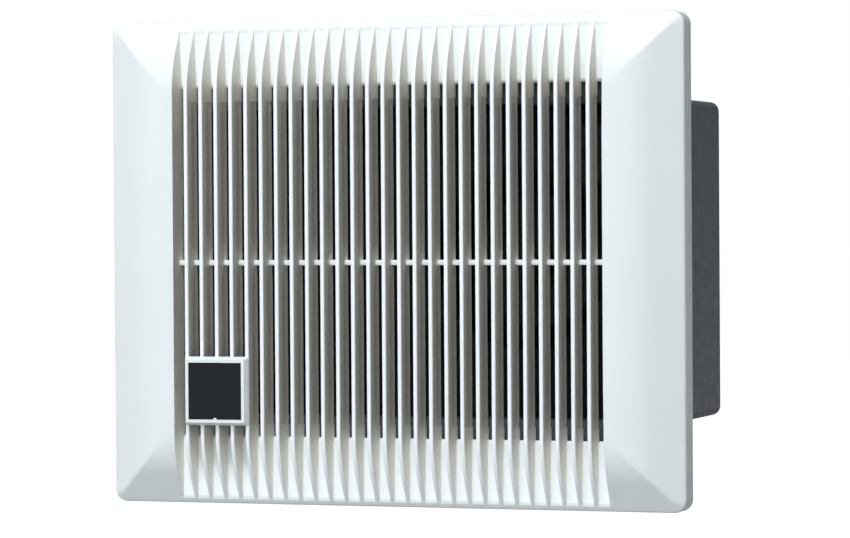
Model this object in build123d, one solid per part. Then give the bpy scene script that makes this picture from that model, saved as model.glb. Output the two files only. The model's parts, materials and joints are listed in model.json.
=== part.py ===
from build123d import *
from math import asin, cos, radians, sin, sqrt, tan
import os

# Bathroom extractor fan for a 100 mm duct, set through a wall.
# Row frame: origin at the middle of the wall face, X to the right seen from the room,
# Y into the wall, Z up. Millimetres. The front panel lies at negative Y, the body at positive Y.

# ---- front panel
PANEL_W = 297.0
PANEL_H = 240.0
PANEL_CORNER_R = 6.0
FRONT_Y = -25.0  # flat front plane of the fins and the border
SKIN = 2.2
BORDER_ANGLE = 27.0  # slope of the outer border
BORDER_ARC_R = 48.0  # easing from the flat field into the slope
BORDER_WIDTH = 36.0  # from the outer edge to where the flat field begins
EDGE_R = 1.6
PITCH = 8.0
SLOT_W = 6.0
SLOTS = 28
FIN_DEPTH = 13.8
THROUGH_TOP = 86.9  # slots are open right through up to this height
THROUGH_LOW = 86.3  # and down to this depth below the middle
FLOOR_DEPTH_IN = 12.4  # groove floor, behind the front plane, where the slot closes
FLOOR_RISE_TOP = 0.08  # the floor comes forward towards the panel's top edge
FLOOR_RISE_LOW = 0.0405  # and less steeply towards its bottom edge
FLOOR_END_R = 2.4  # rounding of the floor where the slot opens
FLOOR_END_T = 0.15  # what is left of the floor's thickness at that edge
RELIEF_W = 6.5  # slots widen by a small step at the back
RELIEF_Z = 80.0
RELIEF_DEPTH = 8.5
BAR_H = 2.6
FIELD_MARGIN = 1.4  # the thick field runs on past the outer slots
PANEL_BOSS_HALF_W = 4.5
PANEL_BOSS_HALF_H = 5.0
PANEL_BOSS_DEPTH = 13.0
CLIP_SCREW_R = 1.3
CLIP_SCREW_TIP_Y = -15.5

# ---- badge at the lower left of the panel
BADGE_X = -88.0
BADGE_Z = -63.3
BADGE_BASE = 34.0
BADGE_FACE = 31.2
BADGE_PROUD = 3.0
PLATE_SIDE = 28.0
PLATE_T = 1.0
PLATE_SUNK = 0.4
PEG_R = 2.2

# ---- housing (the body in the wall)
BODY_W = 273.0
BODY_H = 159.0
BODY_D = 100.0
WALL = 2.5
BODY_R = 5.0
FLANGE_W = 288.0
FLANGE_H = 230.0
FLANGE_T = 2.5
WALL_SCREW_X = 120.0
WALL_SCREW_Z = 98.0
WALL_SCREW_R = 2.4
POST_X = 139.5
POST_Z = 60.0
POST_W = 6.8
POST_L = 8.0
REAR_IN_Y = BODY_D - WALL
POST_FRONT_Y = -9.0
LEDGE_X = 124.0  # ledges in the right corners carry the orifice plate
LEDGE_Z = 67.0
LEDGE_END_Y = 25.0

# ---- holes for self-tapping screws
TAPPED_R = 1.55
SMALL_TAPPED_R = 1.3
MOUNT_HOLE_R = 1.75
SCREW_R = 1.5
SMALL_SCREW_R = 1.25
STEEL_SCREW_R = 1.7

# ---- wheel, motor and casing share one axis, parallel to Y
AXIS_X = 58.0
ORIFICE_Y = 12.0
PLATE = 1.5
THROAT_R = 43.5
LIP_R = 6.5
WHEEL_R = 56.0
BLADE_IN_R = 45.5
BLADES = 40
BLADE_TIP_R = WHEEL_R - 0.4
RING_W = 3.5
WHEEL_Y0 = 21.0
WHEEL_Y1 = 80.0
DOME_R = 37.0
HUB_Y = 42.0
HUB_FRONT_Y = 35.0
HUB_R = 9.0
BUSH_WALL = 2.5
WASHER_FRONT_Y = 33.5
WASHER_BACK_Y = 34.5
NUT_FRONT_Y = 29.5
SHAFT_FRONT_Y = 28.0
CASE_BACK_Y = 88.0
VOLUTE_R = 64.375  # radius of the first quarter of the spiral
VOLUTE_STEP = 4.25  # growth per quarter turn
CHAMBER_X = -132.0
CHAMBER_Z = 75.0
TONGUE_X = -8.5
TONGUE_Z = 16.0

MOTOR_R = 34.0
SHAFT_R = 3.0
RUNNING_FIT = 0.05
CORE_Y0 = 55.0
CORE_Y1 = 73.0
CAP_FRONT_Y = 47.0
CAP_REAR_Y = 83.0
BORE_R = 18.0
ROTOR_R = 17.6
POLES = 4
BOLT_R = 30.5
BOLT_ANGLE = 22.0
MOUNT_R = 46.0
LEAD_X = AXIS_X + 15.6
LEAD_Z = 15.6
LEAD_R = 2.2
LEAD_GAP_Y = 94.0  # leads run behind the casing at this depth
LEAD_START_Y = 79.0
LEAD_BEND_R = 3.4
CAP_WALL = 2.0
BEARING_R = 6.0
BEARING_FRONT = (48.0, 53.0)
BEARING_REAR = (76.0, 82.0)
CAP_BOSS_R = 9.0
BOLT_BOSS_R = 3.2
BOLT_HOLE_R = 1.6
VENTS = 8
VENT_R = 2.5
VENT_CIRCLE_R = 18.0

# ---- discharge spigot and shutter
SPIGOT_X = -72.0
SPIGOT_R = 49.0
SPIGOT_BORE_R = 46.5
SPIGOT_END_Y = 142.0
GASKET_T = 1.5
SPIGOT_FLANGE = 112.0
SPIGOT_FLANGE_T = 2.5
SPIGOT_SCREW = 48.0
SEAT_R = 38.5
SEAT_TOP_Z = 30.5
SEAT_Y = BODY_D + GASKET_T + SPIGOT_FLANGE_T
FLAP_R = 40.0
HINGE_Z = 34.0
HINGE_Y = SEAT_Y + 3.8
PIN_R = 1.0
BARREL_R = 2.0
LUG_X = 27.9
LUG_HALF_T = 1.5
LUG_Z0 = 31.0
LUG_Z1 = 37.0
SPIGOT_HOLE_R = 2.2
SPIGOT_FLANGE_R = 8.0
FLAP_FACE_Y = SEAT_Y + 3.6
FLAP_T = 1.4
SEAL_FRONT_Y = SEAT_Y + 1.9
SEAL_TOP_Z = 31.2
SEAL_WINDOW_TOP_Z = 27.5

# ---- terminal box, on the front of the orifice plate
BOX_X0 = 92.0
BOX_X1 = 132.0
BOX_Z0 = 38.5
BOX_Z1 = 66.0
BOX_Y0 = -5.0
BOX_SPLIT_Y = 2.0
BOX_WALL = 1.5
CABLE_X = 112.0
CABLE_Y = 7.0
GROMMET_SIDE = 8.4
GROMMET_LIP = 9.8
GROMMET_LIP_T = 1.4
GROMMET_CORNER_R = 1.5
CABLE_BORE_R = 3.3
CLAMP_Z = BOX_Z1 - 8.0
BLOCK_Z = BOX_Z0 + 7.0
BUSH_X = 125.0
BUSH_Z = 52.0
BUSH_R = 4.5
BUSH_LIP = 0.9
TRAY_POST_R = 2.8
CLAMP_POST_R = 2.4
CLAMP_FRONT_Y = 1.9
CLAMP_BACK_Y = 3.5
BOX_SCREW_TIP_Y = 8.5
INSERT_Y = 6.8
INSERT_R = 2.3
CORE_WIRE_R = 0.7

# ---- capacitor, held in the lower right corner behind the wheel's casing
CAN_X0 = 111.0
CAN_X1 = 132.5
CAN_Y0 = 40.0
CAN_Y1 = 76.0
CAN_Z0 = -76.5
CAN_Z1 = -55.0
STRAP_Y0 = 53.0
STRAP_Y1 = 63.0
STRAP_T = 1.0
STRAP_SCREW_Y = 58.0
STRAP_FOOT_X = 106.0
STRAP_SIDE_Z = -50.0
STRAP_HEAD_R = 2.8


# ---- basic shapes in the row frame

def block(x0, x1, y0, y1, z0, z1):
    """Box between two corners."""
    middle = Pos((x0 + x1) / 2, (y0 + y1) / 2, (z0 + z1) / 2)
    return middle * Box(x1 - x0, y1 - y0, z1 - z0)


def rod_x(y, z, radius, x0, x1):
    return Pos((x0 + x1) / 2, y, z) * Rot(0, 90, 0) * Cylinder(radius, x1 - x0)


def rod_y(x, z, radius, y0, y1):
    return Pos(x, (y0 + y1) / 2, z) * Rot(90, 0, 0) * Cylinder(radius, y1 - y0)


def rod_z(x, y, radius, z0, z1):
    return Pos(x, y, (z0 + z1) / 2) * Cylinder(radius, z1 - z0)


def cable_square(side, z0, z1):
    """Upright square prism with rounded corners at the cable entry."""
    outline = Pos(CABLE_X, CABLE_Y, z0) * RectangleRounded(side, side, GROMMET_CORNER_R)
    return extrude(outline, amount=z1 - z0, dir=(0, 0, 1))


def tube_y(x, z, outer, inner, y0, y1):
    return rod_y(x, z, outer, y0, y1) - rod_y(x, z, inner, y0 - 1, y1 + 1)


def slab_y(sketch, y0, y1):
    """Thickness from y0 to y1 given to a sketch whose x and y are the row's X and Z."""
    face_plane = Plane(origin=(0, y1, 0), x_dir=(1, 0, 0), z_dir=(0, -1, 0))
    return extrude(face_plane * sketch, amount=y1 - y0)


def spun(points):
    """Ring turned about the Y axis from an outline of (radius, Y) points."""
    return revolve(make_face(Polyline(*points, close=True)), Axis.Y)


def screw_y(x, z, radius, head_r, y_head, y_tip, head_t=1.6):
    """Pan-head screw along Y with a cross recess, head at y_head and tip at y_tip."""
    side = 1 if y_tip > y_head else -1
    seat = y_head
    top = y_head - side * head_t
    head = rod_y(x, z, head_r, min(seat, top), max(seat, top))
    shank = rod_y(x, z, radius, min(seat, y_tip), max(seat, y_tip))
    cut_in = top + side * head_t * 0.5
    slot_y = (min(top, cut_in), max(top, cut_in))
    slot_a = block(x - head_r * 0.6, x + head_r * 0.6, *slot_y, z - 0.35, z + 0.35)
    slot_b = block(x - 0.35, x + 0.35, *slot_y, z - head_r * 0.6, z + head_r * 0.6)
    return head + shank - slot_a - slot_b


def around(radius, count, start=0.0):
    """Points evenly spaced on a circle about the wheel's axis, as (X, Z)."""
    turn = 360.0 / count
    angles = [radians(start + turn * i) for i in range(count)]
    return [(AXIS_X + radius * cos(a), radius * sin(a)) for a in angles]


def corners(x, z):
    return [(sx * x, sz * z) for sx in (-1, 1) for sz in (-1, 1)]


# ---- front panel

def border_outline(half, inset):
    """Section across the panel: (offset from the middle, Y), the same shape on all four sides."""
    angle = radians(BORDER_ANGLE)
    centre_u = half - BORDER_WIDTH
    centre_y = FRONT_Y + BORDER_ARC_R
    radius = BORDER_ARC_R - inset
    mid = (centre_u + radius * sin(angle / 2), centre_y - radius * cos(angle / 2))
    end = (centre_u + radius * sin(angle), centre_y - radius * cos(angle))
    side = half - inset
    rim = (side, end[1] + (side - end[0]) * tan(angle))
    start = (centre_u, centre_y - radius)
    right = [
        ThreePointArc(start, mid, end),
        Line(end, rim),
        Line(rim, (side, 0)),
    ]
    left = [
        ThreePointArc((-start[0], start[1]), (-mid[0], mid[1]), (-end[0], end[1])),
        Line((-end[0], end[1]), (-rim[0], rim[1])),
        Line((-rim[0], rim[1]), (-side, 0)),
    ]
    flat = Line((-start[0], start[1]), start)
    back = Line((-side, 0), (side, 0))
    face = make_face(right + left + [flat, back])
    if inset:
        return face
    rim_corners = [v for v in face.vertices() if abs(abs(v.X) - side) < 0.01 and v.Y < -1]
    return fillet(rim_corners, EDGE_R)


def pillow(inset):
    """Solid panel form: two border sections crossed, so that they meet in mitres at the corners."""
    across = extrude(border_outline(PANEL_W / 2, inset), amount=PANEL_H, both=True)
    side_plane = Plane(origin=(0, 0, 0), x_dir=(0, 0, 1), z_dir=(-1, 0, 0))
    upright = extrude(side_plane * border_outline(PANEL_H / 2, inset), amount=PANEL_W, both=True)
    corner = max(PANEL_CORNER_R - inset, 1.0)
    outline = RectangleRounded(PANEL_W - 2 * inset, PANEL_H - 2 * inset, corner)
    return across & upright & slab_y(outline, FRONT_Y - 5, 5 if inset else 0)


def slot_end(way, through, rise):
    """Edges of a slot's outline at its top (way 1) or bottom (way -1), from the front to the back."""
    front = FRONT_Y - 2
    back = FRONT_Y + FIN_DEPTH + 1
    floor = FRONT_Y + FLOOR_DEPTH_IN
    drop = FIN_DEPTH - FLOOR_DEPTH_IN - FLOOR_END_T
    run = sqrt(FLOOR_END_R**2 - (FLOOR_END_R - drop) ** 2)
    half_turn = asin(run / FLOOR_END_R) / 2
    end_z = PANEL_H / 2 - 1.5
    bend_z = through + run
    mid_z = bend_z - FLOOR_END_R * sin(half_turn)
    mid_y = floor + FLOOR_END_R * (1 - cos(half_turn))
    tip = (way * end_z, floor - rise * (end_z - bend_z))
    bend = (way * bend_z, floor)
    edge = (way * through, floor + drop)
    return [
        Line((way * end_z, front), tip),
        Line(tip, bend),
        ThreePointArc(bend, (way * mid_z, mid_y), edge),
        Line(edge, (way * through, back)),
    ]


def slot_cutter():
    """One slot: open right through in the middle, a groove with a sloping floor at both ends."""
    back = FRONT_Y + FIN_DEPTH + 1
    upper = slot_end(1, THROUGH_TOP, FLOOR_RISE_TOP)
    lower = slot_end(-1, THROUGH_LOW, FLOOR_RISE_LOW)
    across = [
        Line((THROUGH_TOP, back), (-THROUGH_LOW, back)),
        Line(upper[0] @ 0, lower[0] @ 0),
    ]
    side_plane = Plane(origin=(0, 0, 0), x_dir=(0, 0, 1), z_dir=(-1, 0, 0))
    outline = side_plane * make_face(upper + lower + across)
    relief = block(
        -RELIEF_W / 2, RELIEF_W / 2, FRONT_Y + RELIEF_DEPTH, back, -RELIEF_Z, RELIEF_Z
    )
    return extrude(outline, amount=SLOT_W / 2, both=True) + relief


def grille_panel():
    """Front cover: hollow pillow-shaped shell with 27 upright fins and one cross bar."""
    outer = pillow(0)
    fin_rear = FRONT_Y + FIN_DEPTH
    field_x = SLOTS * PITCH / 2 + FIELD_MARGIN
    field = block(-field_x, field_x, FRONT_Y, fin_rear, -PANEL_H / 2 + 1, PANEL_H / 2 - 1)
    bosses = [
        block(
            x - PANEL_BOSS_HALF_W, x + PANEL_BOSS_HALF_W,
            FRONT_Y, FRONT_Y + PANEL_BOSS_DEPTH,
            z - PANEL_BOSS_HALF_H, z + PANEL_BOSS_HALF_H,
        )
        for x, z in corners(POST_X, POST_Z)
    ]
    inside = [field & outer] + [boss & outer for boss in bosses]
    panel = (outer - pillow(SKIN)).fuse(*inside)
    cutter = slot_cutter()
    first = -(SLOTS - 1) * PITCH / 2
    panel = panel.cut(*[Pos(first + i * PITCH, 0, 0) * cutter for i in range(SLOTS)])
    bar = block(
        -field_x + 1, field_x - 1, FRONT_Y + RELIEF_DEPTH, fin_rear, -BAR_H / 2, BAR_H / 2
    )
    hole_y = CLIP_SCREW_TIP_Y - 0.1
    holes = [rod_y(x, z, CLIP_SCREW_R, hole_y, -11) for x, z in corners(POST_X, POST_Z)]
    return panel.fuse(bar).cut(*holes)


def badge_frame():
    """Raised square bezel on the front of the fins, with two pegs that pass between them."""
    base = Plane(origin=(BADGE_X, FRONT_Y, BADGE_Z), x_dir=(1, 0, 0), z_dir=(0, -1, 0))
    foot = base * RectangleRounded(BADGE_BASE, BADGE_BASE, 0.8)
    face = base.offset(BADGE_PROUD) * RectangleRounded(BADGE_FACE, BADGE_FACE, 0.8)
    bezel = loft([foot, face])
    face_y = FRONT_Y - BADGE_PROUD
    half = PLATE_SIDE / 2 + 0.1
    floor_y = face_y + PLATE_SUNK + PLATE_T
    recess = block(
        BADGE_X - half, BADGE_X + half, face_y - 1, floor_y, BADGE_Z - half, BADGE_Z + half
    )
    tab = rod_y(BADGE_X, BADGE_Z - half, 0.9, face_y, floor_y)
    pegs = [rod_y(x, BADGE_Z, PEG_R, FRONT_Y - 1, FRONT_Y + FIN_DEPTH + 2) for x in badge_pegs()]
    return (bezel - recess).fuse(tab, *pegs)


def badge_pegs():
    return [BADGE_X - PITCH / 2, BADGE_X + PITCH / 2]


def badge_plate():
    """Plain dark plate set into the bezel, notched for the bezel's small tab."""
    back_y = FRONT_Y - BADGE_PROUD + PLATE_SUNK + PLATE_T
    half = PLATE_SIDE / 2
    plate = block(
        BADGE_X - half, BADGE_X + half, back_y - PLATE_T, back_y, BADGE_Z - half, BADGE_Z + half
    )
    return plate - rod_y(BADGE_X, BADGE_Z - half - 0.1, 1.0, back_y - 2, back_y + 1)


def badge_retainer():
    """Push-on plate that grips the badge's pegs behind the fins."""
    rear = FRONT_Y + FIN_DEPTH
    plate = block(BADGE_X - 13, BADGE_X + 13, rear, rear + 1.2, BADGE_Z - 5, BADGE_Z + 5)
    return plate.cut(*[rod_y(x, BADGE_Z, PEG_R, rear - 1, rear + 3) for x in badge_pegs()])


def panel_clips():
    """Four sprung U clips on the panel that grip the housing's posts."""
    clips = []
    for x, z in corners(POST_X, POST_Z):
        outer = block(x - 4.5, x + 4.5, -12, -3.2, z - 4, z + 4)
        gap = block(x - 3.7, x + 3.7, -11.2, -3, z - 5, z + 5)
        clips.append(outer - gap - rod_y(x, z, 1.35, -13, -10))
    return clips


def clip_screws():
    return [
        screw_y(x, z, CLIP_SCREW_R, 2.4, -11.2, CLIP_SCREW_TIP_Y, 1.3)
        for x, z in corners(POST_X, POST_Z)
    ]


# ---- housing and orifice plate

def orifice_screw_points():
    """Two on the casing's corner bosses at the left, two on the housing's ledges at the right."""
    return [(-127.5, -70.5), (-127.5, 70.5), (129.0, -72.0), (129.0, 72.0)]


def casing_screw_points():
    return [(-118.0, -58.0), (-118.0, 58.0), (-20.0, -60.0), (-20.0, 60.0)]


def spigot_screw_points():
    return [(SPIGOT_X + x, z) for x, z in corners(SPIGOT_SCREW, SPIGOT_SCREW)]


def housing():
    """Moulded box in the wall with a flange that screws to the wall's face."""
    inner_w = BODY_W - 2 * WALL
    inner_h = BODY_H - 2 * WALL
    hollow = slab_y(RectangleRounded(inner_w, inner_h, BODY_R - WALL), -5, REAR_IN_Y)
    box = slab_y(RectangleRounded(BODY_W, BODY_H, BODY_R), -FLANGE_T, BODY_D)
    flange = slab_y(RectangleRounded(FLANGE_W, FLANGE_H, BODY_R), -FLANGE_T, 0)
    ledge_spans = [(-inner_h / 2 - 1, -LEDGE_Z), (LEDGE_Z, inner_h / 2 + 1)]
    ledges = [
        block(LEDGE_X, inner_w / 2 + 1, ORIFICE_Y + PLATE, LEDGE_END_Y, z0, z1)
        for z0, z1 in ledge_spans
    ]
    half_w = POST_W / 2
    half_l = POST_L / 2
    posts = [
        block(x - half_w, x + half_w, POST_FRONT_Y, -FLANGE_T + 1, z - half_l, z + half_l)
        for x, z in corners(POST_X, POST_Z)
    ]
    body = (box.fuse(flange) - hollow).fuse(*ledges, *posts)
    holes = [rod_y(x, z, WALL_SCREW_R, -5, 5) for x, z in corners(WALL_SCREW_X, WALL_SCREW_Z)]
    holes += [rod_y(x, z, TAPPED_R, 5, 24) for x, z in orifice_screw_points() if x > 0]
    holes += [rod_y(x, z, TAPPED_R, 90, REAR_IN_Y + 2) for x, z in casing_screw_points()]
    holes += [rod_y(x, z, MOUNT_HOLE_R, 90, REAR_IN_Y + 2) for x, z in around(MOUNT_R, 4)]
    holes += [rod_y(x, z, MOUNT_HOLE_R, 90, BODY_D + 2) for x, z in spigot_screw_points()]
    holes.append(rod_y(SPIGOT_X, 0, SPIGOT_BORE_R, 90, BODY_D + 2))
    holes.append(cable_square(GROMMET_SIDE, 70, 90))
    holes += [
        rod_z(STRAP_FOOT_X, STRAP_SCREW_Y, TAPPED_R, -BODY_H / 2 + 0.5, -70),
        rod_x(STRAP_SCREW_Y, STRAP_SIDE_Z, TAPPED_R, 130, BODY_W / 2 - 0.5),
    ]
    return body.cut(*holes)


def orifice_plate():
    """Plate across the housing's mouth with a rounded inlet to the wheel."""
    y0 = ORIFICE_Y
    y1 = ORIFICE_Y + PLATE
    sheet = slab_y(RectangleRounded(BODY_W - 2 * WALL - 1.2, BODY_H - 2 * WALL - 1.2, 2), y0, y1)
    mouth_r = THROAT_R + LIP_R
    lip_y = y0 + LIP_R
    s = sqrt(0.5)
    thin_r = LIP_R - PLATE
    profile = make_face(
        [
            ThreePointArc(
                (mouth_r, y0), (mouth_r - LIP_R * s, lip_y - LIP_R * s), (THROAT_R, lip_y)
            ),
            Line((THROAT_R, lip_y), (THROAT_R + PLATE, lip_y)),
            ThreePointArc(
                (THROAT_R + PLATE, lip_y), (mouth_r - thin_r * s, lip_y - thin_r * s), (mouth_r, y1)
            ),
            Line((mouth_r, y1), (mouth_r + 1, y1)),
            Line((mouth_r + 1, y1), (mouth_r + 1, y0)),
            Line((mouth_r + 1, y0), (mouth_r, y0)),
        ]
    )
    lip = Pos(AXIS_X, 0, 0) * revolve(profile, Axis.Y)
    plate = (sheet - rod_y(AXIS_X, 0, mouth_r, y0 - 1, y1 + 1)).fuse(lip)
    holes = [rod_y(x, z, TAPPED_R, y0 - 1, y1 + 1) for x, z in orifice_screw_points()]
    holes.append(rod_y(BUSH_X, BUSH_Z, BUSH_R, y0 - 1, y1 + 1))
    holes += [rod_y(x, z, SMALL_TAPPED_R, y0 - 1, y1 + 1) for x, z in base_screw_points()]
    return plate.cut(*holes)


def orifice_screws():
    return [screw_y(x, z, SCREW_R, 3.0, ORIFICE_Y, 23) for x, z in orifice_screw_points()]


# ---- spiral casing

def air_region():
    """Air space seen from the room: a spiral round the wheel opening into a chamber at the left."""
    c1 = (AXIS_X + 2.375, -VOLUTE_STEP / 2)
    c2 = (c1[0], VOLUTE_STEP / 2)
    c3 = (c1[0] - VOLUTE_STEP, c2[1])
    r2 = VOLUTE_R + VOLUTE_STEP
    r3 = r2 + VOLUTE_STEP
    s = sqrt(0.5)
    tip_z = TONGUE_Z + 4.0
    tip = (c1[0] - sqrt(VOLUTE_R**2 - (tip_z - c1[1]) ** 2), tip_z)
    nose = ((TONGUE_X + tip[0]) / 2, tip_z + 2.4)
    low = (c1[0], c1[1] - VOLUTE_R)
    right = (c2[0] + r2, c2[1])
    top = (c3[0], c3[1] + r3)
    edges = [
        ThreePointArc(tip, (c1[0] - VOLUTE_R * s, c1[1] - VOLUTE_R * s), low),
        ThreePointArc(low, (c2[0] + r2 * s, c2[1] - r2 * s), right),
        ThreePointArc(right, (c3[0] + r3 * s, c3[1] + r3 * s), top),
        Line(top, (CHAMBER_X, top[1])),
        Line((CHAMBER_X, top[1]), (CHAMBER_X, -CHAMBER_Z)),
        Line((CHAMBER_X, -CHAMBER_Z), (TONGUE_X, -CHAMBER_Z)),
        Line((TONGUE_X, -CHAMBER_Z), (TONGUE_X, TONGUE_Z)),
        ThreePointArc((TONGUE_X, TONGUE_Z), nose, tip),
    ]
    return make_face(edges)


def scroll_wall():
    """Spiral wall of the casing, with a screw boss in each left corner of the chamber."""
    air = air_region()
    y0 = ORIFICE_Y + PLATE
    wall = slab_y(offset(air, amount=PLATE), y0, CASE_BACK_Y) - slab_y(air, ORIFICE_Y, BODY_D)
    left = [(x, z) for x, z in orifice_screw_points() if x < 0]
    wall = wall.fuse(*[rod_y(x, z, 5, y0, CASE_BACK_Y) for x, z in left])
    return wall.cut(*[rod_y(x, z, TAPPED_R, 5, 24) for x, z in left])


def casing_back():
    """Back plate of the casing, with a collar to the spigot and feet on the housing."""
    back_end = CASE_BACK_Y + PLATE
    plate = slab_y(offset(air_region(), amount=PLATE), CASE_BACK_Y, back_end)
    feet = [rod_y(x, z, 5, back_end - 0.5, REAR_IN_Y) for x, z in casing_screw_points()]
    feet += [rod_y(x, z, 6, back_end - 0.5, REAR_IN_Y) for x, z in around(MOUNT_R, 4)]
    collar = rod_y(SPIGOT_X, 0, SPIGOT_BORE_R + 2, back_end - 0.5, REAR_IN_Y)
    holes = [rod_y(SPIGOT_X, 0, SPIGOT_BORE_R, 80, 100)]
    holes += [rod_y(x, z, TAPPED_R, 80, 99) for x, z in casing_screw_points()]
    holes += [rod_y(x, z, MOUNT_HOLE_R, 80, 99) for x, z in around(MOUNT_R, 4)]
    holes += [rod_y(LEAD_X, z, BUSH_R, 80, 92) for z in (LEAD_Z, -LEAD_Z)]
    return plate.fuse(collar, *feet).cut(*holes)


def casing_screws():
    tip = REAR_IN_Y + 1.8
    return [screw_y(x, z, SCREW_R, 3.0, CASE_BACK_Y, tip) for x, z in casing_screw_points()]


# ---- spigot and shutter

def spigot():
    """Duct connector on the back wall, with the shutter's seat and hinge lugs inside it."""
    y0 = BODY_D + GASKET_T
    square = RectangleRounded(SPIGOT_FLANGE, SPIGOT_FLANGE, SPIGOT_FLANGE_R)
    flange = Pos(SPIGOT_X, 0, 0) * slab_y(square, y0, SEAT_Y)
    tube = rod_y(SPIGOT_X, 0, SPIGOT_R, y0, SPIGOT_END_Y)
    bore = rod_y(SPIGOT_X, 0, SPIGOT_BORE_R, y0 - 1, SPIGOT_END_Y + 1)
    seat_web = rod_y(SPIGOT_X, 0, SPIGOT_BORE_R + 0.5, SEAT_Y - 0.5, SEAT_Y + 1.5)
    window = rod_y(SPIGOT_X, 0, SEAT_R, SEAT_Y - 2, SEAT_Y + 3)
    window -= block(SPIGOT_X - 50, SPIGOT_X + 50, SEAT_Y - 3, SEAT_Y + 4, SEAT_TOP_Z, 50)
    lugs = [
        block(x - LUG_HALF_T, x + LUG_HALF_T, SEAT_Y + 1, HINGE_Y + 2.4, LUG_Z0, LUG_Z1)
        for x in (SPIGOT_X - LUG_X, SPIGOT_X + LUG_X)
    ]
    body = (flange.fuse(tube) - bore).fuse(seat_web - window, *lugs)
    holes = [rod_x(HINGE_Y, HINGE_Z, PIN_R, SPIGOT_X - 30, SPIGOT_X + 30)]
    holes += [rod_y(x, z, SPIGOT_HOLE_R, 90, 120) for x, z in spigot_screw_points()]
    return body.cut(*holes)


def spigot_gasket():
    square = RectangleRounded(SPIGOT_FLANGE, SPIGOT_FLANGE, SPIGOT_FLANGE_R)
    ring = square - Circle(SPIGOT_BORE_R)
    gasket = Pos(SPIGOT_X, 0, 0) * slab_y(ring, BODY_D, BODY_D + GASKET_T)
    return gasket.cut(*[rod_y(x, z, SPIGOT_HOLE_R, 90, 120) for x, z in spigot_screw_points()])


def spigot_screws():
    tip = REAR_IN_Y - 2
    return [screw_y(x, z, STEEL_SCREW_R, 3.4, SEAT_Y, tip, 2.0) for x, z in spigot_screw_points()]


def shutter_pin():
    return rod_x(HINGE_Y, HINGE_Z, PIN_R, SPIGOT_X - LUG_X - 2, SPIGOT_X + LUG_X + 2)


def shutter_disc(radius, y0, y1, top):
    disc = rod_y(SPIGOT_X, 0, radius, y0, y1)
    return disc & block(SPIGOT_X - 50, SPIGOT_X + 50, y0, y1, -50, top)


def shutter_flap():
    """Back-draught flap: a disc cut off at its hinge line, with a barrel round the pin."""
    face_y = FLAP_FACE_Y
    disc = shutter_disc(FLAP_R, face_y, face_y + FLAP_T, HINGE_Z)
    barrel = rod_x(HINGE_Y, HINGE_Z, BARREL_R, SPIGOT_X - 20, SPIGOT_X + 20)
    ribs = [
        block(SPIGOT_X + x - 0.6, SPIGOT_X + x + 0.6, face_y + 1, face_y + 3, -30, 30)
        for x in (-12, 0, 12)
    ]
    bore = rod_x(HINGE_Y, HINGE_Z, PIN_R + RUNNING_FIT, SPIGOT_X - 30, SPIGOT_X + 30)
    return disc.fuse(barrel, *ribs) - bore


def shutter_seal():
    """Foam ring on the flap's front, just clear of the seat."""
    y0 = SEAL_FRONT_Y
    y1 = FLAP_FACE_Y
    outer = shutter_disc(FLAP_R - 0.3, y0, y1, SEAL_TOP_Z)
    inner = shutter_disc(FLAP_R - 4.5, y0 - 1, y1 + 1, SEAL_WINDOW_TOP_Z)
    return outer - inner


# ---- wheel and rotor

def blade(radius_in, radius_out):
    """Forward-curved blade section as a thin curved strip."""
    def at(radius, degrees):
        return (radius * cos(radians(degrees)), radius * sin(radians(degrees)))

    mid_r = (radius_in + radius_out) / 2
    lead = [at(radius_in, 0), at(mid_r, 2.6), at(radius_out, 8.2)]
    trail = [at(radius_in, -1.3), at(mid_r, 1.4), at(radius_out, 7.2)]
    section = make_face(
        [
            ThreePointArc(*lead),
            Line(lead[2], trail[2]),
            ThreePointArc(*reversed(trail)),
            Line(trail[0], lead[0]),
        ]
    )
    return slab_y(section, WHEEL_Y0 + 1, WHEEL_Y1 - 1)


def impeller():
    """Squirrel-cage wheel whose back is domed forward over the motor."""
    dome = [
        (SHAFT_R + BUSH_WALL, HUB_FRONT_Y),
        (HUB_R, HUB_FRONT_Y),
        (HUB_R, HUB_Y),
        (DOME_R - 4, HUB_Y),
        (DOME_R + 2, HUB_Y + 6),
        (DOME_R + 3, WHEEL_Y1 - 2),
        (WHEEL_R, WHEEL_Y1 - 2),
        (WHEEL_R, WHEEL_Y1),
        (DOME_R + 1, WHEEL_Y1),
        (DOME_R, HUB_Y + 6.8),
        (DOME_R - 4.8, HUB_Y + 2),
        (SHAFT_R + BUSH_WALL, HUB_Y + 2),
    ]
    body = spun(dome)
    front_ring = tube_y(0, 0, WHEEL_R, WHEEL_R - RING_W, WHEEL_Y0, WHEEL_Y0 + 2)
    section = blade(BLADE_IN_R, BLADE_TIP_R)
    blades = [Rot(0, 360.0 / BLADES * i, 0) * section for i in range(BLADES)]
    return Pos(AXIS_X, 0, 0) * body.fuse(front_ring, *blades)


def impeller_bush():
    """Metal insert moulded into the wheel's hub."""
    return tube_y(AXIS_X, 0, SHAFT_R + BUSH_WALL, SHAFT_R, WASHER_BACK_Y, HUB_Y + 2.5)


def impeller_washer():
    return tube_y(AXIS_X, 0, 6.5, SHAFT_R, WASHER_FRONT_Y, WASHER_BACK_Y)


def impeller_nut():
    outline = RegularPolygon(5.0, 6, major_radius=False)
    hexagon = Pos(AXIS_X, 0, 0) * slab_y(outline, NUT_FRONT_Y, WASHER_FRONT_Y)
    return hexagon - rod_y(AXIS_X, 0, SHAFT_R, 25, 40)


def motor_shaft():
    body = rod_y(AXIS_X, 0, SHAFT_R, SHAFT_FRONT_Y, CAP_REAR_Y - 1.5)
    return chamfer(body.edges().filter_by(GeomType.CIRCLE), 0.5)


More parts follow.
